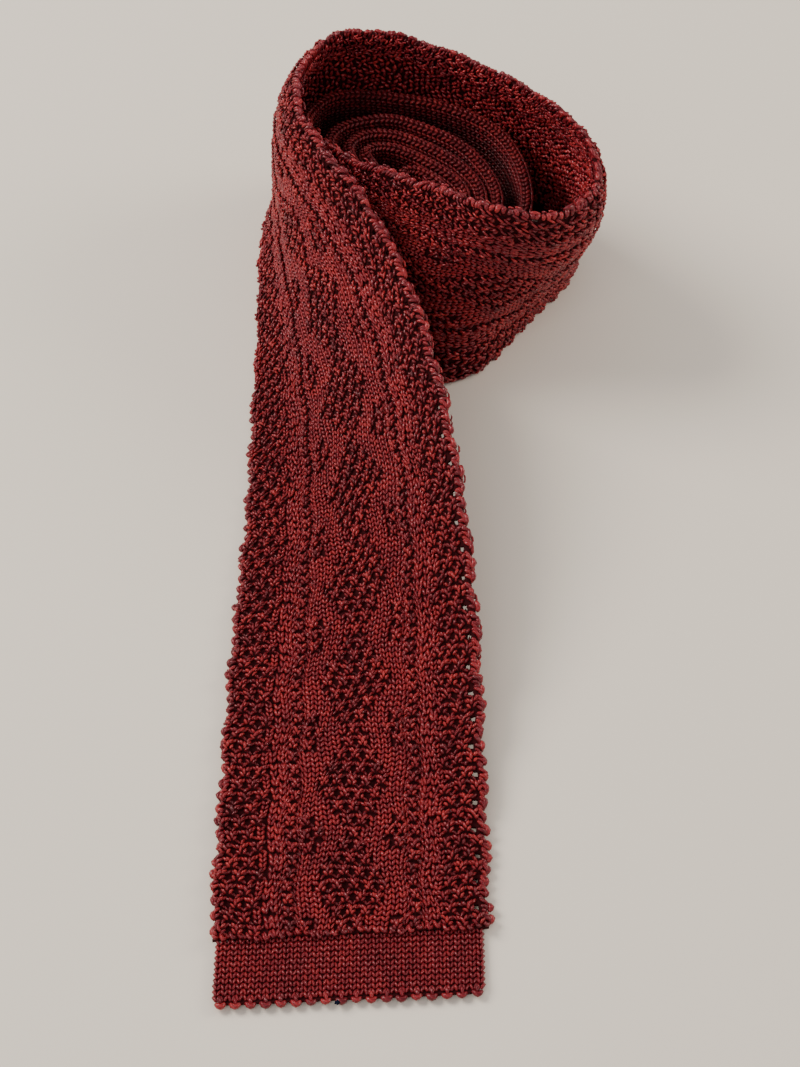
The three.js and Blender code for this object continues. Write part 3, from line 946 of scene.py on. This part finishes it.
# %% The neck band's ground tube
NECK_SECTIONS = 260
SIDE_FACES = 3
ROUND_FACES = 4
neck_bm = bmesh.new()
around = [0.0]
for length, faces in 2 * ((FLAT_SIDE, SIDE_FACES), (OVER, ROUND_FACES)):
    from_g = around[-1]
    around += [from_g + length * (k + 1) / faces for k in range(faces)]
neck_s = [NECK_START + (STRIP_LENGTH - NECK_START) * k / NECK_SECTIONS
          for k in range(NECK_SECTIONS + 1)]
bmesh.ops.create_grid(neck_bm, x_segments=len(around) - 1, y_segments=NECK_SECTIONS, size=1)
set_grid_lines(neck_bm, around, neck_s)
neck_ground = cloth_object("neck_ground", neck_bm, lay_on_neck, painted_shade_ground)
close_bm = bmesh.new()
close_bm.from_mesh(neck_ground.data)
bmesh.ops.remove_doubles(close_bm, verts=close_bm.verts[:], dist=0.02 * MM)
open_edges = [edge for edge in close_bm.edges if edge.is_boundary]
bmesh.ops.holes_fill(close_bm, edges=open_edges, sides=0)
bmesh.ops.recalc_face_normals(close_bm, faces=close_bm.faces[:])
print("open edges left in the neck tube:", sum(edge.is_boundary for edge in close_bm.edges))
close_bm.to_mesh(neck_ground.data)
close_bm.free()

# %% Knit the neck band
NECK_FRONT_COLUMNS = 3          # columns made below the top, outside
NECK_BACK_COLUMNS = 9           # columns made below the top, inside
NECK_STEP = 1.70 * MM
neck_rows = int((STRIP_LENGTH - NECK_START) / NECK_STEP)
NECK_THICK = 0.43 * MM
NECK_LIFT = 0.02 * MM
TOP_TONE, PAINTED_SHADE_FALL, DEEPEST_PAINTED_SHADE = 0.55, 0.16, 0.08      # painted shade: darker with each column below the top
neck_from = FLAT_SIDE - NECK_FRONT_COLUMNS * NECK_COLUMN
neck_columns = NECK_FRONT_COLUMNS + math.ceil(OVER / NECK_COLUMN) + NECK_BACK_COLUMNS


def knit_neck(first_row, end_row):
    strands = []
    for row in range(first_row, end_row):
        s = NECK_START + (row + 0.5) * NECK_STEP
        for k in range(neck_columns):
            g = neck_from + (k + 0.5) * NECK_COLUMN
            off_top = max(FLAT_SIDE - g, g - FLAT_SIDE - OVER, 0) / NECK_COLUMN
            # painted shade: the tone falls with each column below the top, as shade between the turns
            tone = max(DEEPEST_PAINTED_SHADE, TOP_TONE - PAINTED_SHADE_FALL * off_top)
            add_plain_stitch(
                strands, g, s, NECK_COLUMN, NECK_STEP, NECK_THICK, NECK_LIFT, tone=tone,
            )
    return strands


NECK_PARTS = 2
for part in range(NECK_PARTS):
    knitted = knit_neck(part * neck_rows // NECK_PARTS, (part + 1) * neck_rows // NECK_PARTS)
    join_strands(
        f"neck_stitches_{part + 1}", knitted, PLAIN_BALL, lay_on_neck, neck_yarn_painted_darker,
    )

# %% [markdown]
# ## The hem
# The hem is a thinner band of plain stitches that comes out from under the blade's front. Its
# free edge has a small loop for every two columns, and a knot of navy thread between two of them.
# The ground is one face with two rounded corners, sheared to the free end's slant and made thick.

# %% The hem's ground
HEM_GROUND = 0.8 * MM
HEM_SIDE_ROOM = 0.4 * MM        # the ground ends this far inside the hem's sides
HEM_END_ROOM = 0.8 * MM         # and this far inside its free edge
hem_bm = bmesh.new()
bmesh.ops.create_grid(hem_bm, x_segments=1, y_segments=1, size=1)
for vert in hem_bm.verts:
    vert.co.x = hem_low[0] + HEM_SIDE_ROOM if vert.co.x < 0 else hem_high[0] - HEM_SIDE_ROOM
    vert.co.y = hem_low[1] + HEM_END_ROOM if vert.co.y < 0 else hem_high[1]
    vert.co.z = HEM_MID - HEM_GROUND / 2
hem_middle_y = (hem_low[1] + hem_high[1]) / 2
corner_verts = [v for v in hem_bm.verts if v.co.y < hem_middle_y]
bmesh.ops.bevel(
    hem_bm, geom=corner_verts, offset=HEM_CORNER, segments=6, profile=0.5,
    affect="VERTICES", material=-1,
)
for vert in hem_bm.verts:
    vert.co.y += END_SLANT * (vert.co.x - (hem_low[0] + hem_high[0]) / 2)
hem_up = bmesh.ops.extrude_face_region(hem_bm, geom=hem_bm.faces[:])
lifted = [item for item in hem_up["geom"] if isinstance(item, bmesh.types.BMVert)]
bmesh.ops.translate(hem_bm, verts=lifted, vec=(0, 0, HEM_GROUND))
bmesh.ops.recalc_face_normals(hem_bm, faces=hem_bm.faces[:])
hem_mesh = bpy.data.meshes.new("hem_ground")
hem_bm.to_mesh(hem_mesh)
hem_bm.free()
hem_mesh.materials.append(painted_shade_ground)
hem_ground = bpy.data.objects.new("hem_ground", hem_mesh)
bpy.context.scene.collection.objects.link(hem_ground)
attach(hem_ground, "root")

# %% Knit the hem and its loops
hem_strands = []
HEM_ROWS = int(HEM_DEPTH / PLAIN_STEP)
HEM_LIFT = 0.45 * MM
HEM_TONE = 0.52
for row in range(HEM_ROWS + 2):
    s = 0.6 * MM - (row + 0.5) * PLAIN_STEP
    from_corner = s + HEM_DEPTH
    for column in range(COLUMNS):
        x = (column + 0.5) * COLUMN
        corner = min(x, BLADE_WIDTH - x)
        if from_corner < HEM_CORNER and corner < HEM_CORNER:
            if math.hypot(HEM_CORNER - from_corner, HEM_CORNER - corner) > HEM_CORNER:
                continue
        if from_corner < HEM_END_ROOM:
            continue
        add_plain_stitch(
            hem_strands, x, s, COLUMN, PLAIN_STEP, PLAIN_THICK, HEM_LIFT, tone=HEM_TONE, stray=0.14,
        )
loop_strands = []
LOOPS = COLUMNS // 2
for loop in range(LOOPS):
    x = (loop + 0.5) * 2 * COLUMN
    corner = max(0.0, HEM_CORNER - min(x, BLADE_WIDTH - x))
    y = -HEM_DEPTH + HEM_CORNER - math.sqrt(HEM_CORNER ** 2 - corner ** 2)
    first = (x - 1.15 * MM, y + 0.9 * MM, 0.5 * MM)
    bend = (x + wobble(0.3 * MM), y - 1.1 * MM + wobble(0.3 * MM), 0.4 * MM)
    end = (x + 1.15 * MM, y + 0.9 * MM, 0.4 * MM)
    add_strand(loop_strands, first, bend, end, 0.68 * MM, 0.55)
    add_strand(loop_strands, (x - 0.2 * MM, y + 2.0 * MM, 0.6 * MM), (x, y + 1.0 * MM, 1.1 * MM),
               (x + 0.2 * MM, y + 0.4 * MM, 0.3 * MM), 0.50 * MM, 0.5)
for row in range(HEM_ROWS - 1):
    for edge, outward in ((0.0, -1), (BLADE_WIDTH, 1)):
        s = -(row + 0.5) * PLAIN_STEP
        first = (edge - outward * 0.9 * MM, s + 0.5 * MM, 0.7 * MM)
        bend = (edge + outward * 0.7 * MM, s, 0.1 * MM)
        end = (edge - outward * 0.8 * MM, s - 0.5 * MM, -0.5 * MM)
        add_strand(hem_strands, first, bend, end, 0.42 * MM, 0.5)
hem_stitches = join_strands("hem_stitches", hem_strands, FINE_BALL, lay_on_hem, hem_yarn)
hem_loops = join_strands("hem_loops", loop_strands, KNOB_BALL, lay_on_hem, hem_yarn)

# %% The knot of navy thread in the hem's free edge
NAVY = (0.004, 0.006, 0.020)
KNOT_X = 27.5 * MM
KNOT_Y = -HEM_DEPTH - 0.5 * MM
KNOT_REACH = 0.6 * MM
knot_strands = []
for turn in (0.3, 1.5, 2.6):
    dx, dy = KNOT_REACH * math.cos(turn), KNOT_REACH * math.sin(turn)
    first = (KNOT_X - dx, KNOT_Y - dy, 0.7 * MM)
    bend = (KNOT_X, KNOT_Y, 1.7 * MM)
    end = (KNOT_X + dx, KNOT_Y + dy, 0.5 * MM)
    add_strand(knot_strands, first, bend, end, 0.30 * MM)
navy_thread = ground_cloth("navy_thread", NAVY)
thread_knot = join_strands("hem_thread_knot", knot_strands, KNOB_BALL, lay_on_hem, navy_thread)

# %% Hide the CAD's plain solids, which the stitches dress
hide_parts("blade")
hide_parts("neck_band")
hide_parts("hem_band")
